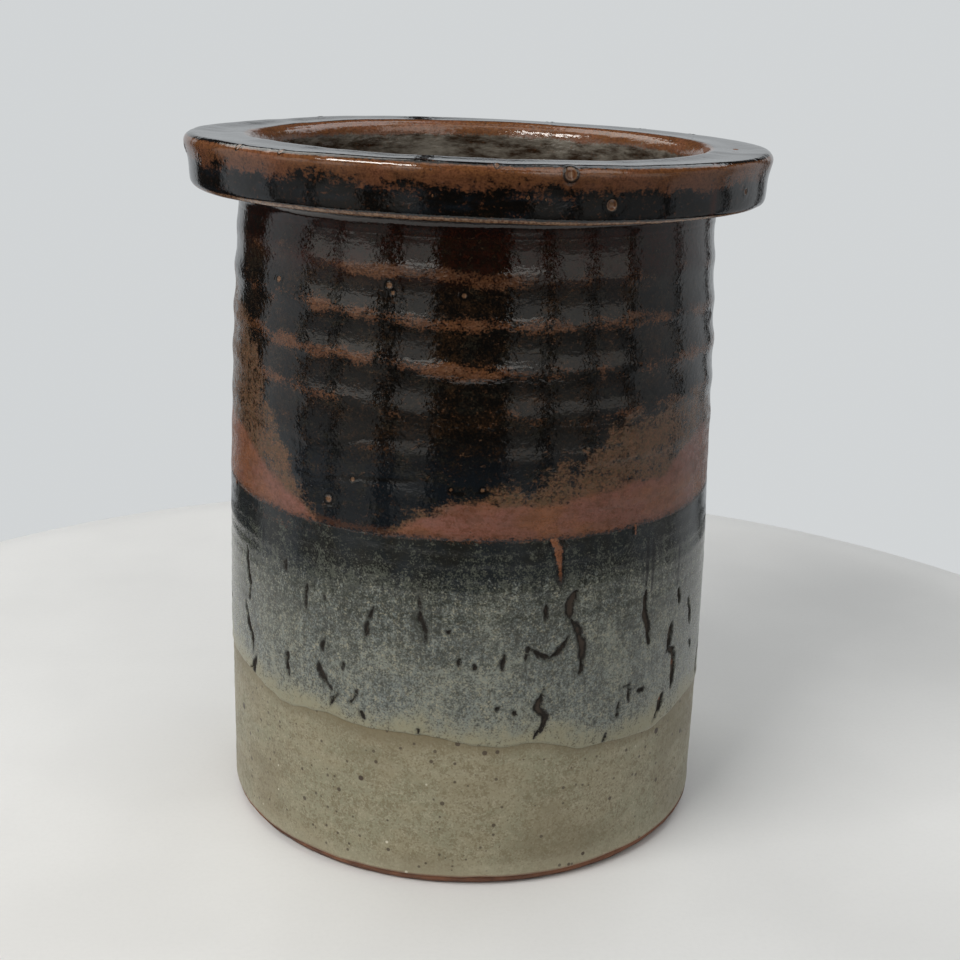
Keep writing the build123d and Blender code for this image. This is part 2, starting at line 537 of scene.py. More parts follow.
def edge_roll(distance, height, length):
    """Rounded edge of a coat: nothing at the edge itself, then a low bead that fades into the coat."""
    rise = np.sqrt(np.clip(1 - (1 - np.clip(distance / (height * 1.3), 0, 1)) ** 2, 0, 1))
    return height * rise * (0.55 + 0.45 * np.exp(-distance / length))


def make_tenmoku_coat():
    rows = 128
    angle = columns_of(TENMOKU_COLUMNS)
    angle, height = coat_grid(angle, dip_edge(angle), NECK_LINE + NECK_LAP, rows, 4)
    above_edge = height - dip_edge(angle)
    radius = wall_radius(height) + thrown(angle, height)
    radius = radius + edge_roll(above_edge, 0.06, 2.0) - 0.04
    share = crater_distance(angle, height, WALL_CRATERS)
    radius = radius + crater_relief(share, WALL_CRATER_DEPTH)
    creases = wrinkle_lines(angle, height)
    radius = radius - CREASE_DEPTH * creases
    radius = radius - 0.16 * ease(height, NECK_LINE - 1.0, NECK_LINE + 0.6)
    radius[rows:] = wall_radius(height[rows:]) - GLAZE
    top = ring_curve(RUST_TOP, angle) + 1.6 * ring_noise(51, angle, height, 16, 9)
    solid = ring_curve(RUST_SOLID, angle) + 0.8 * ring_noise(52, angle, height, 17, 7)
    solid = np.minimum(solid, top - 1.0)
    uneven = 0.30 * ring_noise(53, angle, height, 24, 6) + 0.16 * ring_noise(54, angle, height, 7, 3)
    fade = ease(height, 104, 121) - 0.45 * ease(height, 148, 153)
    streaks = ridge_crest(angle, height) * (0.78 + uneven) * fade
    values = {
        "below_top": top - height,
        "above_solid": height - solid,
        "ridge": streaks,
        "crater": share,
        "crease": creases,
        "above_edge": above_edge,
    }
    return closed_ring("tenmoku_coat", radius, angle, height, values)


# Wrinkles in the black coat's skin: width in mm, then (angle, height) points
WRINKLES = (
    (0.5, (-42, 98.4), (-35.6, 97.5), (-28.9, 98.6), (-23.9, 99.5), (-18.9, 99.7), (-8.3, 100.5)),
    (0.5, (-45, 106.4), (-37, 104.1), (-33, 105.6), (-28.9, 106.7), (-24, 108.2), (-14, 109.5),
     (-10, 108)),
    (0.6, (-8.3, 98.4), (-2, 98.0), (3.5, 98.6)),
    (0.4, (37.8, 121.0), (40.6, 119.9), (42.2, 117.8), (44.4, 116.7)),
    (0.5, (120, 104), (128, 102.6), (137, 103.4), (146, 102.0)),
    (0.5, (204, 112), (214, 110.6), (224, 111.5)),
)


def wrinkle_lines(angle, height):
    """1 along the wrinkles and 0 away from them."""
    ragged = 0.45 * ring_noise(55, angle, height, 2.2, 1.6)
    return 1 - ease(crack_distance(angle, height, WRINKLES) + ragged, -0.15, 0.4)


# How much further than elsewhere the dark grains reach below the dip line, in mm
DARK_REACH = (
    (-72, 1.5), (-54, 3.5), (-40, 3.5), (-24, 1.5), (-6, 2.0), (6, 1.5), (14, 0.0), (38, 0.5),
    (60, 1.5), (100, 0.5), (150, 3.0), (200, 0.0), (250, 2.5),
)


def make_grey_coat():
    rows = 122
    angle = columns_of(GREY_COLUMNS)
    angle, height = coat_grid(angle, glaze_line(angle), DIP_LINE + DIP_LAP, rows, 3)
    above_line = height - glaze_line(angle)
    ragged = 0.34 * ring_noise(61, angle, height, 1.8, 2.4)
    ragged = ragged + 0.14 * ring_noise(62, angle, height, 0.8, 0.9)
    crack = crack_distance(angle, height, list(FRONT_CRACKS) + back_cracks()) + ragged
    drip = crack_distance(angle, height, DRIPS, tapering) + 0.5 * ragged
    run = crack_distance(angle, height, DARK_RUNS, even)
    radius = wall_radius(height) + thrown(angle, height) - 0.12
    radius = radius + edge_roll(above_line, 0.20, 2.6)
    radius = radius - CRACK_DEPTH * (1 - ease(crack, -0.5, 0.12)) + 0.05 * hump(crack, 0.45, 0.40)
    radius = radius + DRIP_HEIGHT * (1 - ease(drip, -0.5, 0.25))
    radius = radius - 0.30 * ease(height - dip_edge(angle), 0.0, 0.8)
    radius[rows:] = wall_radius(height[rows:]) - GLAZE
    depth = DIP_LINE - height
    below_dip = depth - ring_curve(DARK_REACH, angle, 6.0) * ease(depth, 0, 4)
    values = {
        "crack": crack,
        "drip": drip,
        "run": run,
        "above_line": above_line,
        "below_dip": below_dip,
    }
    return closed_ring("grey_coat", radius, angle, height, values)


def make_ash_coat():
    rows = 104
    angle = columns_of(ASH_COLUMNS)
    angle, height = coat_grid(angle, foot_edge(angle), glaze_line(angle) + LINE_LAP, rows, 3)
    above_foot = height - foot_edge(angle)
    below_line = glaze_line(angle) - height
    pits = np.clip(ring_noise(71, angle, height, 1.6, 1.6) - 0.72, 0, 1)
    radius = wall_radius(height) + thrown(angle, height) - 0.1
    radius = radius + edge_roll(above_foot, 0.34, 1.6) - 0.34 - 0.35 * pits
    radius = radius - 0.2 * ease(-below_line, -0.2, 0.6)
    radius[rows:] = wall_radius(height[rows:]) - GLAZE
    values = {"above_foot": above_foot, "below_line": below_line}
    return closed_ring("ash_coat", radius, angle, height, values)


# ---- Rim, liner, clay ----

# Burst bubbles on the rim's outer face: angle, height, radius in mm
RIM_CRATERS = (
    (15.2, 168.4, 1.3), (23.0, 162.3, 1.25), (-62.0, 165.5, 0.8), (58.0, 163.0, 0.8),
    (96.0, 166.0, 1.2), (151.0, 161.8, 1.0), (203.0, 167.0, 1.3), (247.0, 163.5, 0.9),
    (284.0, 166.5, 0.8),
)
# Where a dark red streak runs down the rim's face
RED_RUN_ANGLE = 46.5
# Small chips along the rim's edges: angle, height, radius in mm
RIM_CHIPS = (
    (8.3, 163.4, 0.45), (11.3, 163.1, 0.35), (-7.5, 163.0, 0.35), (-47.0, 169.4, 0.6),
    (-36.0, 169.6, 0.5), (3.0, 169.6, 0.5), (124.0, 169.5, 0.8), (139.0, 169.6, 0.7),
    (163.0, 169.5, 0.9), (220.0, 169.4, 0.7),
)


# How much the rim sinks for each mm towards +X
RIM_SLOPE = 0.0073
RIM_CRATER_DEPTH = 0.32
RIM_CHIP_DEPTH = 0.2


def rim_lift(angle, radius):
    """The rim isn't level: it leans down towards +X and waves a little."""
    lean = -RIM_SLOPE * radius * np.sin(np.radians(angle))
    waves = 0.22 * np.cos(np.radians(2 * angle + 25)) + 0.16 * np.cos(np.radians(3 * angle + 110))
    return lean + waves + 0.14 * ring_noise(81, angle, 0, 30, 50)


def make_rim_coat():
    start = NECK_LINE - 1.6
    outside = rounded_path(
        [
            (wall_radius(start), start, 0), (*RIM_NECK, 2.2), (*RIM_LOWER_EDGE, 1.8),
            (*RIM_TOP_EDGE, 2.1), (*RIM_LIP, 4.2), (MOUTH_RADIUS, LINER_LINE - 0.5, 0),
        ],
        0.5,
    )
    inside = rounded_path(
        [
            (MOUTH_RADIUS + GLAZE, LINER_LINE - 0.5, 0), (MOUTH_RADIUS + GLAZE, JAR_TOP - GLAZE, 2.0),
            (RIM_TOP_EDGE[0] - GLAZE, JAR_TOP - GLAZE, 1.1), (RIM_LOWER_EDGE[0] - GLAZE, 158.8, 1.3),
            (RIM_NECK[0] - GLAZE, 157.6, 2.6), (wall_radius(start) - GLAZE, start, 0),
        ],
        3.0,
    )
    path = np.vstack([outside, inside])
    normal = np.vstack([path_normals(outside), np.zeros_like(inside)])
    angle, radius0, height0 = spun(path, RIM_COLUMNS)
    on_face = ease(radius0, 66.5, 69.0) * ease(height0, 157.0, 159.5)
    craters = crater_distance(angle, height0, RIM_CRATERS, 70.5) + 9 * (1 - on_face)
    chips = crater_distance(angle, height0, RIM_CHIPS, 70.0) + 9 * (1 - on_face)
    swell = 0.16 * ring_noise(82, angle, height0 + radius0, 22, 9)
    swell = swell + 0.07 * ring_noise(83, angle, height0 * 1.3 + radius0 * 0.7, 6, 4)
    swell = swell + crater_relief(craters, RIM_CRATER_DEPTH) + crater_relief(chips, RIM_CHIP_DEPTH)
    face_hollow = -0.35 * hump(height0, 164.0, 3.0) * ease(radius0, 67.0, 69.0)
    top_dish = -0.3 * hump(radius0, 62.0, 4.5) * ease(height0, 166.0, 169.0)
    off = (swell + face_hollow + top_dish) * ease(height0, NECK_LINE + 0.6, NECK_LINE + 3.0)
    inner_fade = 1 - ease(58 - radius0, 0, 3) * ease(LINER_LINE + 2.5 - height0, 0, 2.5)
    off = off * inner_fade
    radius = radius0 + off * normal[:, :1]
    height = height0 + off * normal[:, 1:]
    lift = ease(height0, 156.0, 159.0)
    height = height + rim_lift(angle, radius0) * lift
    match = thrown(angle, height0) + 0.03 - 0.14 * ease(NECK_LINE - height0, -0.2, 1.2)
    radius = radius + match * (1 - ease(height0, 155.0, 158.0)) * ease(radius0, 56, 57.5)
    # Small nicks and blisters along both arrises of the face
    arris = ease(radius0, 68.6, 70.6) * (hump(height0, 169.9, 0.9) + 0.6 * hump(height0, 158.2, 1.0))
    nicks = np.clip(ring_noise(84, angle, height0, 2.6, 2.0) - 0.35, 0, 1)
    radius = radius - 0.30 * nicks * arris
    height = height - 0.22 * nicks * arris
    values = {
        "height": height0,
        "radius": radius0,
        "crater": np.minimum(craters, chips),
        "red_run": hump(turn(angle, RED_RUN_ANGLE), 0, 0.8) * on_face,
    }
    return closed_ring("rim_coat", radius, angle, height, values)


def make_liner_coat():
    corner_top = FLOOR_THICKNESS + GLAZE + INSIDE_CORNER
    outside = rounded_path(
        [
            (0.4, FLOOR_THICKNESS + GLAZE, 0), (INSIDE_RADIUS, FLOOR_THICKNESS + GLAZE, INSIDE_CORNER),
            (INSIDE_RADIUS, corner_top + 6, 60), (MOUTH_RADIUS, LINER_LINE + 0.6, 0),
        ],
        1.0,
    )
    inside = rounded_path(
        [
            (MOUTH_RADIUS + GLAZE, LINER_LINE, 0), (INSIDE_RADIUS + GLAZE, corner_top + 6, 60),
            (INSIDE_RADIUS + GLAZE, FLOOR_THICKNESS, INSIDE_CORNER + GLAZE), (0.4, FLOOR_THICKNESS, 0),
        ],
        5.0,
    )
    path = np.vstack([outside, inside])
    rows = len(outside)
    angle, radius, height = spun(path, LINER_COLUMNS)
    spiral = np.cos(2 * math.pi * (height / 9.0 - angle / 360.0))
    rings = 0.28 * spiral * ease(height, 24, 34) * (1 - ease(height, 152, 160))
    rings = rings + 0.12 * ring_noise(91, angle, height, 20, 12) * (1 - ease(height, 156, 162))
    radius[:rows] -= (rings * ease(radius, 40, 50))[:rows]
    sway = 0.5 * ring_noise(92, angle, radius, 60, 12)
    swirl = np.cos(2 * math.pi * (radius / 8.5 - angle / 360.0 + sway)) * ease(radius, 2, 8)
    uneven = 0.45 + 0.35 * ring_noise(93, angle, radius, 70, 16)
    floor_rings = 0.20 * swirl * uneven * (1 - 0.6 * ease(radius, 8, 30))
    floor_rings = floor_rings + 0.10 * ring_noise(94, angle, radius, 40, 9) * ease(radius, 4, 20)
    height[:rows] += (floor_rings * (1 - ease(radius, 36, 44)))[:rows]
    return closed_bowl("liner_coat", radius, angle, height, {"height": height})


def make_wall_clay():
    """The clay wall: seen only round the foot and from below, so its rows are close there."""
    foot_edge_radius = CLAY_RADIUS - FOOT_BEVEL
    bottom = rounded_path([(FLOOR_RADIUS, 0, 0), (foot_edge_radius - 0.8, 0, 0)], 0.8)
    bevel = rounded_path(
        [
            (foot_edge_radius - 0.5, 0, 0), (foot_edge_radius, 0, 0.5),
            (CLAY_RADIUS - 0.1, FOOT_BEVEL, 0.8), (CLAY_RADIUS - 0.1, 7.0, 0),
        ],
        0.3,
    )
    levels = np.linspace(10, JOINT_HEIGHT, 16)
    outer = np.stack([wall_radius(levels) - GLAZE, levels], axis=-1)
    back = np.linspace(JOINT_HEIGHT, 23, 12)
    slope = (INSIDE_RADIUS - MOUTH_RADIUS) / (LINER_LINE - 23)
    inner = np.stack([MOUTH_RADIUS + GLAZE + (LINER_LINE - back) * slope, back], axis=-1)
    turn_down = np.radians(np.linspace(0, 90, 8))
    corner_centre = INSIDE_RADIUS - INSIDE_CORNER
    corner_radius = INSIDE_CORNER + GLAZE
    corner = np.stack(
        [
            corner_centre + corner_radius * np.cos(turn_down),
            FLOOR_THICKNESS + corner_radius - corner_radius * np.sin(turn_down),
        ],
        axis=-1,
    )
    path = np.vstack([bottom, bevel, outer, inner, corner])
    angle, radius, height = spun(path, WALL_COLUMNS)
    at_foot = 1 - ease(height, 3.0, 5.0)
    rough = 0.10 * ring_noise(101, angle, height, 2.4, 1.2) + 0.12 * ring_noise(102, angle, height, 14, 3)
    outside = ease(radius, CLAY_RADIUS - 2.4, CLAY_RADIUS - 1.2)
    radius = radius + rough * at_foot * outside
    trimming = 0.05 * np.cos(2 * math.pi * (radius / 1.7 + angle / 360.0))
    under = (1 - ease(height, 0.0, 0.05)) * (1 - outside)
    height = height + under * (trimming + 0.05) * ease(radius, FLOOR_RADIUS + 0.5, FLOOR_RADIUS + 3)
    return closed_ring("wall_clay", radius, angle, height, {"height": height})


def make_floor_clay():
    """The base slab, with the rings that trimming leaves on its underside."""
    under = rounded_path([(0.4, 0, 0), (FLOOR_RADIUS, 0, 0)], 0.8)
    over = rounded_path([(FLOOR_RADIUS, FLOOR_THICKNESS, 0), (0.4, FLOOR_THICKNESS, 0)], 5.0)
    path = np.vstack([under, over])
    angle, radius, height = spun(path, FLOOR_COLUMNS)
    rings = 0.08 + 0.07 * np.cos(2 * math.pi * (radius / 3.1 + angle / 360.0))
    rings = rings + 0.05 * ring_noise(111, angle, radius, 8, 3)
    edge = 1 - ease(radius, FLOOR_RADIUS - 3, FLOOR_RADIUS - 0.5)
    height = height + np.clip(rings, 0, 1) * edge * (1 - ease(height, 0, 0.5))
    return closed_bowl("floor_clay", radius, angle, height, {"height": height})


# ---- Materials ----

# How much a grain's value has to rise for it to cover the whole surface
GRAIN_SPREAD = 0.36


class Nodes:
    """Adds shader nodes to a new material. Sizes are in millimetres, colours are linear."""

    def __init__(self, name):
        self.material = bpy.data.materials.new(name)
        self.material.use_nodes = True
        self.tree = self.material.node_tree
        self.shader = self.tree.nodes["Principled BSDF"]
        self.position = self.tree.nodes.new("ShaderNodeTexCoord").outputs["Object"]

    def add(self, kind, inputs, output, **settings):
        node = self.tree.nodes.new(kind)
        for key, value in settings.items():
            setattr(node, key, value)
        for key, value in inputs.items():
            self.feed(node.inputs[key], value)
        return node.outputs[output]

    def feed(self, socket, value):
        if isinstance(value, bpy.types.NodeSocket):
            self.tree.links.new(value, socket)
        else:
            socket.default_value = value

    def finish(self, **inputs):
        for key, value in inputs.items():
            self.feed(self.shader.inputs[key.replace("_", " ")], value)
        return self.material

    def value(self, name):
        """A named value stored on the mesh."""
        return self.add("ShaderNodeAttribute", {}, "Fac", attribute_name=name)

    def stretched(self, across, along, shift=0.0):
        """Position scaled so that a pattern is `across` times as wide and `along` times as tall."""
        scale = (1 / across, 1 / across, 1 / along)
        scaled = self.add("ShaderNodeVectorMath", {0: self.position, 1: scale}, 0, operation="MULTIPLY")
        return self.add("ShaderNodeVectorMath", {0: scaled, 1: (shift, shift, shift)}, 0, operation="ADD")

    def noise(self, size, detail=2.0, roughness=0.5, across=1.0, along=1.0, shift=0.0):
        """Cloudy noise with features of about size mm."""
        inputs = {
            "Vector": self.stretched(across, along, shift),
            "Scale": 1000.0 / size,
            "Detail": detail,
            "Roughness": roughness,
        }
        return self.add("ShaderNodeTexNoise", inputs, 0)

    def cells(self, size, shift=0.0, output="Distance", along=1.0):
        """Distance to scattered points about size mm apart, in units of that spacing."""
        inputs = {"Vector": self.stretched(1.0, along, shift), "Scale": 1000.0 / size}
        return self.add("ShaderNodeTexVoronoi", inputs, output)

    def math(self, operation, a, b=0.0, clamp=False):
        return self.add("ShaderNodeMath", {0: a, 1: b}, 0, operation=operation, use_clamp=clamp)

    def span(self, value, low, high, start=0.0, end=1.0):
        """Smooth step of value from start at low to end at high."""
        inputs = {"Value": value, "From Min": low, "From Max": high, "To Min": start, "To Max": end}
        return self.add("ShaderNodeMapRange", inputs, 0, interpolation_type="SMOOTHSTEP")

    def mix(self, factor, a, b):
        inputs = {0: factor, 6: colour(a), 7: colour(b)}
        return self.add("ShaderNodeMix", inputs, 2, data_type="RGBA")

    def scatter(self, grain, share, softness):
        """Covers about that share of a surface in the pattern of a grain."""
        lift = self.math("MULTIPLY", self.math("SUBTRACT", share, 0.5), GRAIN_SPREAD)
        return self.span(self.math("ADD", grain, lift), 0.5 - softness, 0.5 + softness)

    def total(self, *terms):
        """The sum of several values. A pair is a noise and the amount that it swings the sum by."""
        terms = [self.swing(*term) if isinstance(term, tuple) else term for term in terms]
        result = terms[0]
        for term in terms[1:]:
            result = self.math("ADD", result, term)
        return result

    def product(self, a, b):
        return self.math("MULTIPLY", a, b)

    def larger(self, a, b):
        return self.math("MAXIMUM", a, b)

    def swing(self, noise, amount):
        """Noise about 0.5 turned into a shift of either sign, a tenth or two of amount at most places."""
        return self.math("MULTIPLY", self.math("SUBTRACT", noise, 0.5), amount)

    def height(self):
        """Height above the table in mm."""
        return self.math("MULTIPLY", self.add("ShaderNodeSeparateXYZ", {0: self.position}, 2), 1.0 / MM)

    def spots(self, size, share, softness=0.08, shift=0.0):
        """Round spots: share is how far from a point's middle, in spacings, the spot reaches."""
        return self.span(self.cells(size, shift), share, share - softness * 2)

    def freckles(self, spacing, radius, share, shift=0.0):
        """Round freckles up to radius mm, in that share of the cells of a pattern spacing mm wide."""
        distance = self.cells(spacing, shift)
        chance = self.add("ShaderNodeSeparateColor", {0: self.cells(spacing, shift, "Color")}, 0)
        size = self.math("MULTIPLY", self.math("SUBTRACT", chance, 1.0 - share), radius / spacing / share)
        return self.span(self.math("SUBTRACT", distance, size), 0.12 / spacing, -0.12 / spacing)

    def bump(self, height, depth, normal=None):
        """Bump of depth mm for a height of 0 to 1."""
        inputs = {"Height": height, "Distance": depth * MM, "Strength": 1.0}
        if normal is not None:
            inputs["Normal"] = normal
        return self.add("ShaderNodeBump", inputs, 0)


def colour(value):
    """A socket as it is, or three numbers with an alpha added."""
    return value if isinstance(value, bpy.types.NodeSocket) else (*value, 1.0)


BLACK = (0.0032, 0.0027, 0.0023)
BLUE_BLACK = (0.0055, 0.0075, 0.0100)
MAROON = (0.0330, 0.0085, 0.0040)
BROWN_BLACK = (0.0220, 0.0115, 0.0055)
OLIVE_GREY = (0.0200, 0.0190, 0.0135)
OLIVE_BROWN = (0.0750, 0.0480, 0.0240)
RUST = (0.1950, 0.0780, 0.0380)
RUST_PINK = (0.1850, 0.0780, 0.0570)
RUST_DEEP = (0.0900, 0.0350, 0.0160)
RUST_BROWN = (0.1350, 0.0640, 0.0330)
RUST_ORANGE = (0.1700, 0.0700, 0.0270)
TAN = (0.1500, 0.0800, 0.0420)
GREY = (0.1930, 0.2100, 0.1850)
GREY_BLUE = (0.1700, 0.1930, 0.1850)
GREY_MIDDLE = (0.0620, 0.0680, 0.0560)
GREY_DARK = (0.0290, 0.0310, 0.0250)
CELADON = (0.2500, 0.2450, 0.1650)
CRACK_BLACK = (0.0100, 0.0075, 0.0050)
CRACK_BROWN = (0.0420, 0.0300, 0.0220)
ASH = (0.2520, 0.2250, 0.1440)
ASH_GREEN = (0.2250, 0.2150, 0.1400)
ASH_PALE = (0.3400, 0.3150, 0.2250)
ASH_BROWN = (0.1500, 0.1200, 0.0650)
IRON = (0.0400, 0.0230, 0.0120)
PALE_FLECK = (0.5500, 0.5200, 0.4200)
# A painted highlight: the pale cream line where light catches the rim's lower arris
LOW_ARRIS_HIGHLIGHT = (0.3400, 0.2000, 0.1150)
# Painted reflection: the grey inside the mouth stands in for the lit inner wall seen in the black glaze
INSIDE_REFLECTION_GREY = (0.2050, 0.1880, 0.1600)
CLAY = (0.2000, 0.0850, 0.0450)
CLAY_DARK = (0.0950, 0.0400, 0.0230)


def grains(nodes, fine=0.55, coarse=1.7, across=1.0, along=1.0, shift=0.0):
    """Two sizes of grain added together, about 0.5 on average."""
    small = nodes.noise(fine, 2.0, 0.6, across=across, along=along, shift=shift)
    large = nodes.noise(coarse, 3.0, 0.6, across=across, along=along, shift=shift + 3.0)
    return nodes.math("ADD", nodes.product(small, 0.58), nodes.product(large, 0.42))


def rust_colour(nodes):
    """Rust that drifts between orange, pink and dark brown, freckled with dark grains."""
    drift = nodes.noise(8.0, 3.0, 0.6, across=1.6)
    grain = grains(nodes, 0.5, 1.5, shift=11.0)
    wipe = nodes.noise(2.6, 4.0, 0.65, across=2.2, shift=15.0)
    warm = nodes.mix(nodes.span(drift, 0.38, 0.62), RUST, RUST_PINK)
    wiped = nodes.mix(nodes.span(wipe, 0.46, 0.68, 0.0, 0.55), warm, RUST_DEEP)
    speckled = nodes.mix(nodes.scatter(grain, 0.38, 0.07), wiped, nodes.mix(0.6, wiped, RUST_DEEP))
    return nodes.mix(nodes.spots(5.5, 0.055, 0.02, shift=4.0), speckled, IRON)


def tenmoku_material():
    nodes = Nodes("tenmoku")
    below_top = nodes.value("below_top")
    above_solid = nodes.value("above_solid")
    ridge = nodes.value("ridge")
    crater = nodes.value("crater")
    crease = nodes.value("crease")
    above_edge = nodes.value("above_edge")
    height = nodes.height()
    grain = grains(nodes, 0.55, 1.5, across=1.3)
    fine_grain = grains(nodes, 0.40, 1.0, across=1.15, shift=21.0)
    blotch = nodes.noise(5.0, 3.0, 0.6, across=1.8, shift=2.0)
    drift = nodes.swing(blotch, 1.1)
    # Between the ridges the coat is thick: black, with maroon near the neck and brown grains
    red = nodes.product(nodes.span(height, 141.0, 149.0), nodes.span(grain, 0.62, 0.42))
    deep = nodes.mix(nodes.span(height, 99.0, 112.0), BLUE_BLACK, BLACK)
    ground = nodes.mix(red, deep, MAROON)
    haze = nodes.total((blotch, 1.5), nodes.span(height, 92.0, 118.0, 0.04, 0.32))
    ground = nodes.mix(nodes.scatter(fine_grain, haze, 0.11), ground, BROWN_BLACK)
    bloom = nodes.span(nodes.noise(3.4, 4.0, 0.7, across=1.5, shift=71.0), 0.50, 0.64, 0.0, 0.5)
    ground = nodes.mix(bloom, ground, nodes.mix(nodes.span(fine_grain, 0.42, 0.56), BLACK, OLIVE_GREY))
    # On the crests it is thin and breaks to rust, in grains that thin out to either side
    smear = nodes.noise(2.6, 3.0, 0.6, across=3.0, shift=56.0)
    crest_cover = nodes.total(ridge, (blotch, 1.6), (grain, 1.0), (smear, 1.2))
    crests = nodes.scatter(fine_grain, nodes.span(crest_cover, 0.0, 1.2, -0.30, 0.74), 0.13)
    warm = nodes.mix(nodes.span(smear, 0.40, 0.60), RUST_ORANGE, RUST_BROWN)
    warm = nodes.mix(nodes.scatter(grain, 0.48, 0.10), warm, RUST_DEEP)
    # Towards the dip line it is a single thin coat: rust lobes, solid below and grainy above
    streak = nodes.swing(nodes.noise(1.8, 3.0, 0.6, along=7.0, shift=36.0), 0.7)
    near_top = nodes.span(nodes.total(below_top, (blotch, 9.0)), -5.0, 5.0, -0.30, 0.66)
    grainy = nodes.total(near_top, (blotch, 0.9), streak)
    whole = nodes.span(nodes.total(above_solid, (blotch, 6.0)), 3.0, -2.4, 0.0, 1.5)
    lobes = nodes.scatter(grain, nodes.larger(grainy, whole), 0.13)
    rust = rust_colour(nodes)
    brown = nodes.mix(nodes.scatter(fine_grain, 0.48, 0.13), RUST_BROWN, OLIVE_BROWN)
    lobe_colour = nodes.mix(nodes.span(whole, 0.2, 1.2), brown, rust)
    skin = nodes.mix(nodes.product(crests, 0.92), ground, warm)
    skin = nodes.mix(lobes, skin, lobe_colour)
    edge = nodes.total(above_edge, (grain, 5.0), (fine_grain, 4.0))
    skin = nodes.mix(nodes.span(edge, 2.6, 0.5, 0.0, 0.6), skin, RUST_DEEP)
    skin = nodes.mix(nodes.span(edge, 1.2, -0.2), skin, BLUE_BLACK)
    skin = nodes.mix(nodes.span(crease, 0.3, 0.9, 0.0, 0.85), skin, BLACK)
    skin = nodes.mix(nodes.span(crater, 2.0, 1.2, 0.0, 0.85), skin, BLACK)
    skin = nodes.mix(nodes.span(crater, 0.95, 0.55), skin, TAN)
    dry = nodes.larger(lobes, nodes.product(crests, 0.6))
    patchy = nodes.span(nodes.noise(1.6, 3.0, 0.65, across=1.5, shift=61.0), 0.46, 0.62, 0.0, 0.13)
    rough = nodes.total(nodes.span(dry, 0.0, 1.0, 0.03, 0.27), patchy)
    normal = nodes.bump(nodes.noise(2.6, 2.0, 0.5, across=1.5, shift=6.0), 0.045)
    normal = nodes.bump(nodes.noise(0.9, 2.0, 0.5, across=1.5, shift=16.0), 0.075, normal)
    normal = nodes.bump(grain, 0.03, normal)
    crinkle = nodes.noise(0.7, 2.0, 0.5, across=2.6, shift=26.0)
    crinkle = nodes.product(crinkle, nodes.span(nodes.total(ridge, drift), 0.3, 0.9))
    normal = nodes.bump(crinkle, 0.13, normal)
    return nodes.finish(Base_Color=skin, Roughness=rough, Normal=normal, IOR=1.52)


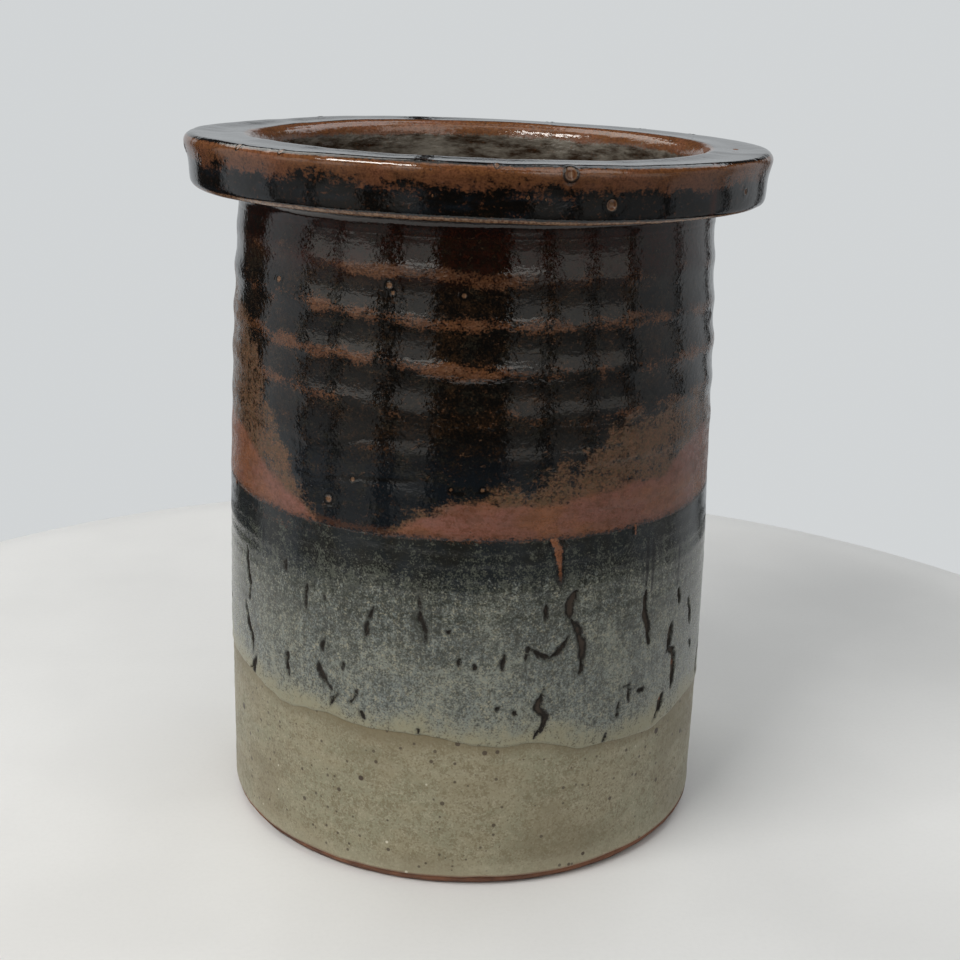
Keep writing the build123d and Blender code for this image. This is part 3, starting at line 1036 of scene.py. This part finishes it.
def grey_material():
    nodes = Nodes("grey_crawl")
    crack = nodes.value("crack")
    drip = nodes.value("drip")
    run = nodes.value("run")
    above_line = nodes.value("above_line")
    below_dip = nodes.value("below_dip")
    grain = grains(nodes, 0.45, 1.2)
    pale_grain = grains(nodes, 0.42, 1.1, shift=31.0)
    cloud = nodes.noise(12.0, 3.0, 0.6, shift=9.0)
    patch = nodes.noise(3.2, 3.0, 0.6, along=1.5, shift=44.0)
    streak = nodes.noise(1.7, 3.0, 0.6, across=0.9, along=9.0, shift=2.0)
    shards = nodes.cells(1.3, shift=5.0, along=1.7)
    body = nodes.mix(nodes.span(cloud, 0.38, 0.62), GREY, GREY_BLUE)
    body = nodes.mix(nodes.scatter(pale_grain, 0.30, 0.10), body, ASH_PALE)
    margin = nodes.total(above_line, (cloud, 9.0), (patch, 7.0))
    pale = nodes.mix(nodes.span(grain, 0.4, 0.6), CELADON, ASH)
    body = nodes.mix(nodes.span(margin, 8.0, 0.5, 0.0, 0.9), body, pale)
    # Black grains: nearly solid below the dip line and thinner further down, in streaks and patches
    thick = nodes.span(below_dip, 1.5, 15.0, 1.22, 0.64)
    thin = nodes.span(below_dip, 13.0, 36.0, 0.0, -0.20)
    fewer = nodes.span(above_line, 8.0, 0.0, 0.0, -0.34)
    share = nodes.total(thick, thin, fewer, (cloud, 0.5), (streak, 0.5), (patch, 0.6))
    dark = nodes.scatter(grain, share, 0.16)
    night = nodes.mix(nodes.span(cloud, 0.4, 0.6), BLACK, BLUE_BLACK)
    sprinkle = nodes.total((patch, 1.5), nodes.span(below_dip, 0.5, 9.0, 0.16, 0.44))
    night = nodes.mix(nodes.scatter(pale_grain, sprinkle, 0.08), night, GREY_MIDDLE)
    rusty = nodes.scatter(grain, nodes.span(below_dip, 1.6, -0.8, -0.3, 0.55), 0.09)
    night = nodes.mix(rusty, night, RUST_DEEP)
    deep = nodes.mix(nodes.span(below_dip, 17.0, 7.0), GREY_DARK, night)
    body = nodes.mix(nodes.product(dark, 0.95), body, deep)
    body = nodes.mix(nodes.spots(6.5, 0.09, shift=7.0), body, BROWN_BLACK)
    # Drips: rust with a dark outline, ending in a dark tip, and thin dark runs beside them
    tip = nodes.span(below_dip, 6.5, 9.5)
    body = nodes.mix(nodes.span(nodes.total(run, (grain, 1.2)), 0.35, -0.05, 0.0, 0.85), body, BLACK)
    drip = nodes.total(drip, (grain, 1.6), (shards, 0.3))
    body = nodes.mix(nodes.span(drip, 0.9, 0.15, 0.0, 0.9), body, BLACK)
    drip_colour = nodes.mix(nodes.scatter(pale_grain, 0.35, 0.10), RUST, RUST_DEEP)
    drip_colour = nodes.mix(nodes.product(tip, 0.8), drip_colour, BLACK)
    body = nodes.mix(nodes.span(drip, 0.05, -0.3), body, drip_colour)
    # Crawled cracks with torn edges: black at their edges, browner where they are wide
    torn = nodes.total(crack, (grain, 3.0), (shards, 0.9), 0.05)
    body = nodes.mix(nodes.span(torn, 0.7, 0.15, 0.0, 0.40), body, GREY_DARK)
    middle = nodes.span(nodes.total(crack, (pale_grain, 1.5)), -0.30, -0.75)
    inside = nodes.mix(middle, CRACK_BLACK, CRACK_BROWN)
    skin = nodes.mix(nodes.span(torn, 0.16, -0.06), body, inside)
    dry = nodes.span(pale_grain, 0.35, 0.7, -0.02, 0.10)
    rough = nodes.total(nodes.span(dark, 0.0, 1.0, 0.30, 0.11), dry)
    rough = nodes.larger(rough, nodes.span(crack, 0.2, -0.1, 0.0, 0.85))
    normal = nodes.bump(nodes.noise(1.7, 3.0, 0.55, shift=3.0), 0.07)
    normal = nodes.bump(grain, 0.05, normal)
    normal = nodes.bump(nodes.span(torn, -0.3, 0.3), 0.14, normal)
    return nodes.finish(Base_Color=skin, Roughness=rough, Normal=normal, IOR=1.44)


def ash_material():
    nodes = Nodes("ash_satin")
    above_foot = nodes.value("above_foot")
    below_line = nodes.value("below_line")
    grain = grains(nodes, 0.6, 1.8)
    pale_grain = grains(nodes, 0.5, 1.4, shift=41.0)
    cloud = nodes.noise(13.0, 4.0, 0.6, across=1.4, shift=5.0)
    patch = nodes.noise(6.0, 4.0, 0.6, across=1.3, shift=15.0)
    shade_cloud = nodes.noise(20.0, 3.0, 0.5, across=1.6, shift=65.0)
    rings = nodes.noise(2.2, 3.0, 0.5, across=12.0, shift=2.0)
    body = nodes.mix(nodes.span(nodes.total(cloud, (patch, 0.5)), 0.40, 0.60), ASH, ASH_GREEN)
    body = nodes.mix(nodes.span(rings, 0.45, 0.75, 0.0, 0.30), body, ASH_PALE)
    browner = nodes.mix(0.75, body, ASH_BROWN)
    body = nodes.mix(nodes.scatter(grain, nodes.total(0.42, (patch, 0.8)), 0.09), body, browner)
    body = nodes.mix(nodes.scatter(pale_grain, 0.28, 0.09), body, nodes.mix(0.8, body, ASH_PALE))
    body = nodes.mix(nodes.span(shade_cloud, 0.46, 0.64, 0.0, 0.52), body, ASH_BROWN)
    # Painted shadow: the ash coat turns brown just under the edge of the grey coat
    painted_line_shadow = nodes.span(nodes.total(below_line, nodes.product(grain, 3.0)), 5.2, 1.6, 0.0, 0.55)
    body = nodes.mix(painted_line_shadow, body, ASH_BROWN)
    # Painted highlight: the ash coat is paler in a band just above the foot, where the rounded foot
    # catches light
    body = nodes.mix(nodes.span(above_foot, 6.0, 0.8, 0.0, 0.40), body, ASH_PALE)
    body = nodes.mix(nodes.span(above_foot, 0.9, 0.1, 0.0, 0.7), body, CLAY)
    body = nodes.mix(nodes.freckles(1.6, 0.45, 0.30, shift=3.0), body, nodes.mix(0.75, body, IRON))
    body = nodes.mix(nodes.freckles(3.1, 0.66, 0.55, shift=23.0), body, nodes.mix(0.85, body, IRON))
    body = nodes.mix(nodes.freckles(8.0, 0.90, 0.65, shift=8.0), body, IRON)
    body = nodes.mix(nodes.freckles(4.6, 0.50, 0.40, shift=12.0), body, PALE_FLECK)
    rough = nodes.total(nodes.span(grain, 0.35, 0.7, 0.36, 0.50), nodes.span(cloud, 0.3, 0.7, 0.0, 0.05))
    normal = nodes.bump(nodes.noise(1.3, 3.0, 0.6, shift=3.0), 0.06)
    normal = nodes.bump(grain, 0.04, normal)
    return nodes.finish(Base_Color=body, Roughness=rough, Normal=normal, IOR=1.5)


def rim_material():
    nodes = Nodes("rim_tenmoku")
    height = nodes.value("height")
    radius = nodes.value("radius")
    crater = nodes.value("crater")
    red_run = nodes.value("red_run")
    grain = grains(nodes, 0.55, 1.5, across=1.3)
    fine_grain = grains(nodes, 0.40, 1.1, across=1.15, shift=51.0)
    blotch = nodes.noise(4.5, 3.0, 0.6, across=2.2, along=0.8, shift=4.0)
    dribble = nodes.noise(1.6, 3.0, 0.6, across=0.9, along=3.5, shift=14.0)
    drift = nodes.swing(blotch, 1.6)
    on_face = nodes.span(radius, 67.9, 69.0)
    inner = nodes.span(radius, 54.9, 54.2)
    level = nodes.total(height, (blotch, 8.0), (dribble, 5.0))
    upper_half = nodes.span(level, 162.8, 167.4)
    low_edge = nodes.product(nodes.span(height, 159.0, 158.4), nodes.span(radius, 67.2, 68.2))
    lip_level = nodes.span(nodes.total(height, drift), 165.6, 167.0)
    lip = nodes.product(nodes.span(radius, 57.4, 56.2), lip_level)
    flat_top = nodes.product(nodes.span(radius, 70.6, 69.8), nodes.span(height, 168.9, 169.6))
    share = nodes.product(on_face, upper_half)
    share = nodes.math("SUBTRACT", share, flat_top)
    share = nodes.larger(share, nodes.product(low_edge, 0.95))
    share = nodes.larger(share, nodes.total(nodes.product(lip, 0.9), (blotch, 0.4)))
    rusty = nodes.scatter(grain, share, 0.14)
    rust = nodes.mix(nodes.span(blotch, 0.4, 0.62), RUST_ORANGE, RUST)
    rust = nodes.mix(nodes.scatter(fine_grain, 0.42, 0.11), rust, RUST_DEEP)
    rust = nodes.mix(nodes.span(height, 169.2, 165.0, 0.0, 0.5), rust, RUST_DEEP)
    # Along the lower arris: rust where the glaze breaks thin, with a painted cream highlight in its grain
    rust = nodes.mix(nodes.product(low_edge, nodes.span(fine_grain, 0.42, 0.56)), rust, LOW_ARRIS_HIGHLIGHT)
    ground = nodes.mix(nodes.span(blotch, 0.45, 0.65), BLACK, BLUE_BLACK)
    red = nodes.product(nodes.span(height, 157.5, 155.0), nodes.span(grain, 0.62, 0.42))
    ground = nodes.mix(nodes.larger(red, red_run), ground, MAROON)
    ground = nodes.mix(nodes.scatter(fine_grain, 0.02, 0.10), ground, BROWN_BLACK)
    murk = nodes.noise(5.0, 4.0, 0.7, across=2.0, along=0.6, shift=24.0)
    # Inside the mouth the black glaze is painted grey in clouds, a painted reflection of the lit inner
    # wall
    murky = nodes.mix(nodes.span(murk, 0.31, 0.68), INSIDE_REFLECTION_GREY, BROWN_BLACK)
    ground = nodes.mix(inner, ground, murky)
    skin = nodes.mix(nodes.product(rusty, 0.95), ground, rust)
    skin = nodes.mix(nodes.span(crater, 1.6, 1.25, 0.0, 0.9), skin, BLACK)
    skin = nodes.mix(nodes.span(crater, 1.05, 0.85), skin, TAN)
    bowl = nodes.product(nodes.span(crater, 0.85, 0.7), nodes.span(crater, 0.35, 0.6))
    skin = nodes.mix(bowl, skin, RUST_DEEP)
    dry = nodes.span(fine_grain, 0.35, 0.7, -0.01, 0.06)
    rough = nodes.total(nodes.span(rusty, 0.0, 1.0, 0.03, 0.13), dry)
    rough = nodes.product(rough, nodes.span(height, 167.8, 169.0, 1.0, 0.4))
    normal = nodes.bump(nodes.noise(3.0, 2.0, 0.5, shift=6.0), 0.04)
    normal = nodes.bump(nodes.noise(0.9, 3.0, 0.6, across=1.6, shift=16.0), 0.05, normal)
    normal = nodes.bump(grain, 0.03, normal)
    crinkle = nodes.product(nodes.noise(1.5, 2.0, 0.5, across=2.0, shift=26.0), inner)
    normal = nodes.bump(crinkle, 0.20, normal)
    return nodes.finish(Base_Color=skin, Roughness=rough, Normal=normal, IOR=1.52)


def liner_material():
    nodes = Nodes("liner_tenmoku")
    height = nodes.value("height")
    speckle = nodes.noise(1.0, 4.0, 0.7, across=1.2)
    blotch = nodes.noise(7.0, 4.0, 0.65, shift=4.0)
    murk = nodes.noise(5.0, 4.0, 0.7, across=2.0, along=0.6, shift=24.0)
    # Near the lip the inside is painted grey in clouds, a painted reflection of the lit inner wall;
    # deeper down it stays black
    under_lip = nodes.span(nodes.total(height, (blotch, 22.0)), 143.0, 161.0)
    ground = nodes.mix(nodes.span(blotch, 0.4, 0.65), BLUE_BLACK, BROWN_BLACK)
    murky = nodes.mix(nodes.span(murk, 0.31, 0.68), INSIDE_REFLECTION_GREY, BROWN_BLACK)
    skin = nodes.mix(under_lip, ground, murky)
    skin = nodes.mix(nodes.span(speckle, 0.56, 0.78, 0.0, 0.4), skin, OLIVE_BROWN)
    rough = nodes.span(speckle, 0.3, 0.8, 0.12, 0.26)
    normal = nodes.bump(nodes.noise(1.8, 3.0, 0.6, shift=2.0), 0.05)
    return nodes.finish(Base_Color=skin, Roughness=rough, Normal=normal, IOR=1.52)


def clay_material():
    nodes = Nodes("bare_stoneware")
    grain = nodes.noise(0.45, 4.0, 0.75)
    cloud = nodes.noise(9.0, 4.0, 0.6, shift=4.0)
    scrape = nodes.noise(1.0, 3.0, 0.6, across=9.0, shift=7.0)
    body = nodes.mix(nodes.span(cloud, 0.35, 0.65), CLAY, CLAY_DARK)
    body = nodes.mix(nodes.span(scrape, 0.5, 0.75, 0.0, 0.4), body, CLAY_DARK)
    body = nodes.mix(nodes.span(grain, 0.56, 0.75, 0.0, 0.5), body, TAN)
    body = nodes.mix(nodes.spots(3.2, 0.12, shift=2.0), body, IRON)
    rough = nodes.span(grain, 0.3, 0.8, 0.72, 0.92)
    normal = nodes.bump(grain, 0.09)
    normal = nodes.bump(scrape, 0.05, normal)
    return nodes.finish(Base_Color=body, Roughness=rough, Normal=normal, IOR=1.45)


# ---- The stage: a round pale table top, soft panels of light, the camera ----

TABLE_RADIUS = 250.0
TABLE_THICKNESS = 14.0


TABLE = (0.70, 0.71, 0.72)
TABLE_PALE = (0.73, 0.74, 0.75)
TABLE_DARK = (0.64, 0.65, 0.66)


def table_material():
    nodes = Nodes("pale_table")
    grain = nodes.noise(1.2, 3.0, 0.6)
    cloud = nodes.noise(60.0, 3.0, 0.5, shift=3.0)
    body = nodes.mix(nodes.span(cloud, 0.35, 0.65), TABLE, TABLE_PALE)
    body = nodes.mix(nodes.span(grain, 0.4, 0.7, 0.0, 0.15), body, TABLE_DARK)
    return nodes.finish(Base_Color=body, Roughness=0.55, Normal=nodes.bump(grain, 0.03))


def make_table():
    """A plain round top, its edge rounded, with its upper face at height 0."""
    path = rounded_path(
        [
            (1.0, -TABLE_THICKNESS, 0), (TABLE_RADIUS, -TABLE_THICKNESS, 4),
            (TABLE_RADIUS, 0, 4), (1.0, 0, 0),
        ],
        12.0,
    )
    angle, radius, height = spun(path, TABLE_COLUMNS)
    table = closed_bowl("table", radius, angle, height, {})
    table.data.materials.append(table_material())


def around(azimuth, distance, height):
    """A point in metres at an azimuth round the jar, 0 towards -Y."""
    a = math.radians(azimuth)
    return Vector((distance * math.sin(a), -distance * math.cos(a), height))


def make_panel(name, start, end, low, high, glow, tint, distance=1.5):
    """An upright soft panel that spans two azimuths and two heights, in metres, and faces the jar."""
    middle = (start + end) / 2
    width = 2 * distance * math.tan(math.radians((end - start) / 2))
    add_lamp(name, around(middle, distance, (low + high) / 2), around(middle, 0, (low + high) / 2),
             width, high - low, glow, tint)


def make_softbox(name, azimuth, elevation, width, height, glow, tint, distance=1.35):
    """A soft box above the jar that looks down at its middle."""
    a = math.radians(elevation)
    aim = Vector((0, 0, 0.08))
    add_lamp(name, aim + around(azimuth, distance * math.cos(a), distance * math.sin(a)), aim,
             width, height, glow, tint)


def add_lamp(name, place_at, aim, width, height, glow, tint):
    """A rectangle of light. glow is the brightness that its reflection shows."""
    lamp = bpy.data.lights.new(name, "AREA")
    lamp.shape = "RECTANGLE"
    lamp.size = width
    lamp.size_y = height
    lamp.energy = glow * math.pi * width * height
    lamp.color = tint
    panel = bpy.data.objects.new(name, lamp)
    bpy.context.scene.collection.objects.link(panel)
    panel.location = place_at
    panel.rotation_euler = (place_at - aim).to_track_quat("Z", "Y").to_euler()
    panel.visible_camera = False


WARM = (1.0, 0.97, 0.92)
NEUTRAL = (1.0, 0.98, 0.93)
COOL = (0.93, 0.97, 1.0)
# What the glossy wall reflects: dim towards the floor, brighter above it, dark straight ahead.
# Name, first and last azimuth, lowest and highest point in metres, glow, tint.
PANELS = (
    ("left_front_floor", -35, -19.5, -0.75, -0.31, 0.12, NEUTRAL),
    ("left_front_low", -35, -19.5, -0.31, -0.05, 0.25, NEUTRAL),
    ("left_front_high", -35, -19.5, -0.05, 0.42, 0.7, NEUTRAL),
    ("left_front_top", -34, -18, 0.46, 0.95, 2.2, NEUTRAL),
    ("left_side_floor", -63, -43, -0.75, -0.31, 0.24, NEUTRAL),
    ("left_side_low", -63, -43, -0.31, 0.1, 0.31, NEUTRAL),
    ("left_side_high", -63, -43, 0.1, 0.8, 1.1, NEUTRAL),
    ("left_edge_floor", -80, -67, -0.75, -0.31, 0.15, COOL),
    ("left_edge_low", -80, -67, -0.31, 0.1, 0.27, COOL),
    ("left_edge_high", -80, -67, 0.1, 0.8, 0.9, NEUTRAL),
    ("left_back", -112, -84, -0.7, 0.8, 0.5, COOL),
    ("right_front_floor", 17, 31.5, -0.75, -0.31, 0.12, NEUTRAL),
    ("right_front_low", 17, 31.5, -0.31, -0.05, 0.20, NEUTRAL),
    ("right_front_high", 17, 31.5, -0.05, 0.42, 0.6, NEUTRAL),
    ("right_front_top", 15, 31, 0.46, 0.95, 2.0, NEUTRAL),
    ("right_side_floor", 37, 53, -0.75, -0.31, 0.13, NEUTRAL),
    ("right_side_low", 37, 53, -0.31, 0.1, 0.22, NEUTRAL),
    ("right_side_high", 37, 53, 0.1, 0.8, 0.7, NEUTRAL),
    ("right_edge_floor", 57, 74, -0.75, -0.31, 0.14, COOL),
    ("right_edge_low", 57, 74, -0.31, 0.1, 0.20, COOL),
    ("right_edge_high", 57, 74, 0.1, 0.8, 0.6, NEUTRAL),
    ("right_back", 79, 107, -0.7, 0.8, 0.3, COOL),
    ("far_right", 111, 140, -0.6, 0.8, 0.4, COOL),
    ("back_right", 146, 182, -0.4, 0.5, 0.5, COOL),
    ("back_left", 183, 218, -0.4, 0.5, 0.5, COOL),
)
# What lights the glaze from above: name, azimuth, elevation, width and height in metres, glow, tint
SOFTBOXES = (
    ("window", -47, 47, 0.76, 0.22, 24.0, WARM),
    ("fill", 45, 50, 0.8, 0.8, 1.7, NEUTRAL),
    ("behind_right", 140, 50, 0.8, 0.8, 1.8, COOL),
    ("behind_left", 220, 50, 0.8, 0.8, 2.2, NEUTRAL),
    ("overhead", 0, 89, 0.9, 0.9, 1.0, NEUTRAL),
)


def make_lights():
    for panel in PANELS:
        make_panel(*panel)
    for softbox in SOFTBOXES:
        make_softbox(*softbox)


BACKDROP = (0.64, 0.66, 0.67, 1)
DIM_ROOM = (0.02, 0.02, 0.02, 1)


def make_world():
    """Pale backdrop for the camera. What the jar reflects between the panels is dimmer."""
    world = bpy.data.worlds.new("studio")
    bpy.context.scene.world = world
    world.use_nodes = True
    tree = world.node_tree
    background = tree.nodes["Background"]
    path = tree.nodes.new("ShaderNodeLightPath")
    mix = tree.nodes.new("ShaderNodeMix")
    mix.data_type = "RGBA"
    mix.inputs[6].default_value = DIM_ROOM
    mix.inputs[7].default_value = BACKDROP
    tree.links.new(path.outputs["Is Camera Ray"], mix.inputs[0])
    tree.links.new(mix.outputs[2], background.inputs["Color"])


# The camera stands 0.37 m from the jar's axis and a little above its rim, and looks down
CAMERA_PLACE = (0, -0.3697, 0.1976)
CAMERA_LENS = 55.5
CAMERA_PITCH = 17.32
CAMERA_YAW = 0.40
CAMERA_ROLL = 1.66


def make_camera():
    data = bpy.data.cameras.new("camera")
    camera = bpy.data.objects.new("camera", data)
    bpy.context.scene.collection.objects.link(camera)
    data.sensor_width = 36.0
    data.lens = CAMERA_LENS
    data.clip_start = 0.01
    pitch = math.radians(CAMERA_PITCH)
    yaw = math.radians(CAMERA_YAW)
    roll = math.radians(CAMERA_ROLL)
    forward = Vector((math.sin(yaw) * math.cos(pitch), math.cos(yaw) * math.cos(pitch), -math.sin(pitch)))
    level = Vector((math.cos(yaw), -math.sin(yaw), 0))
    upright = level.cross(forward)
    right = math.cos(roll) * level + math.sin(roll) * upright
    up = -math.sin(roll) * level + math.cos(roll) * upright
    turned = Matrix((right, up, -forward)).transposed()
    camera.matrix_world = Matrix.Translation(CAMERA_PLACE) @ turned.to_4x4()
    bpy.context.scene.camera = camera


# ---- Putting it together ----

def place(piece, material, slot, *nodes):
    """Finish a piece: its material, the body it rides on and the CAD nodes it stands for. The slot is not
    used.
    """
    piece.data.materials.append(material)
    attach(piece, "root")
    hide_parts(*nodes)


make_camera()
clay = clay_material()
place(make_tenmoku_coat(), tenmoku_material(), "black_glaze", "tenmoku_glaze")
place(make_grey_coat(), grey_material(), "grey_glaze", "grey_glaze")
place(make_ash_coat(), ash_material(), "ash_glaze", "ash_glaze")
place(make_rim_coat(), rim_material(), "black_glaze", "rim_glaze")
place(make_liner_coat(), liner_material(), "black_glaze", "inside_glaze")
place(make_wall_clay(), clay, "bare_clay", "clay_wall")
place(make_floor_clay(), clay, "bare_clay", "clay_floor")

rim_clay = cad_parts["clay_rim"]
rim_clay.data.materials.clear()
rim_clay.data.materials.append(clay)

make_table()
make_lights()
make_world()
bpy.context.scene.view_settings.view_transform = "Standard"
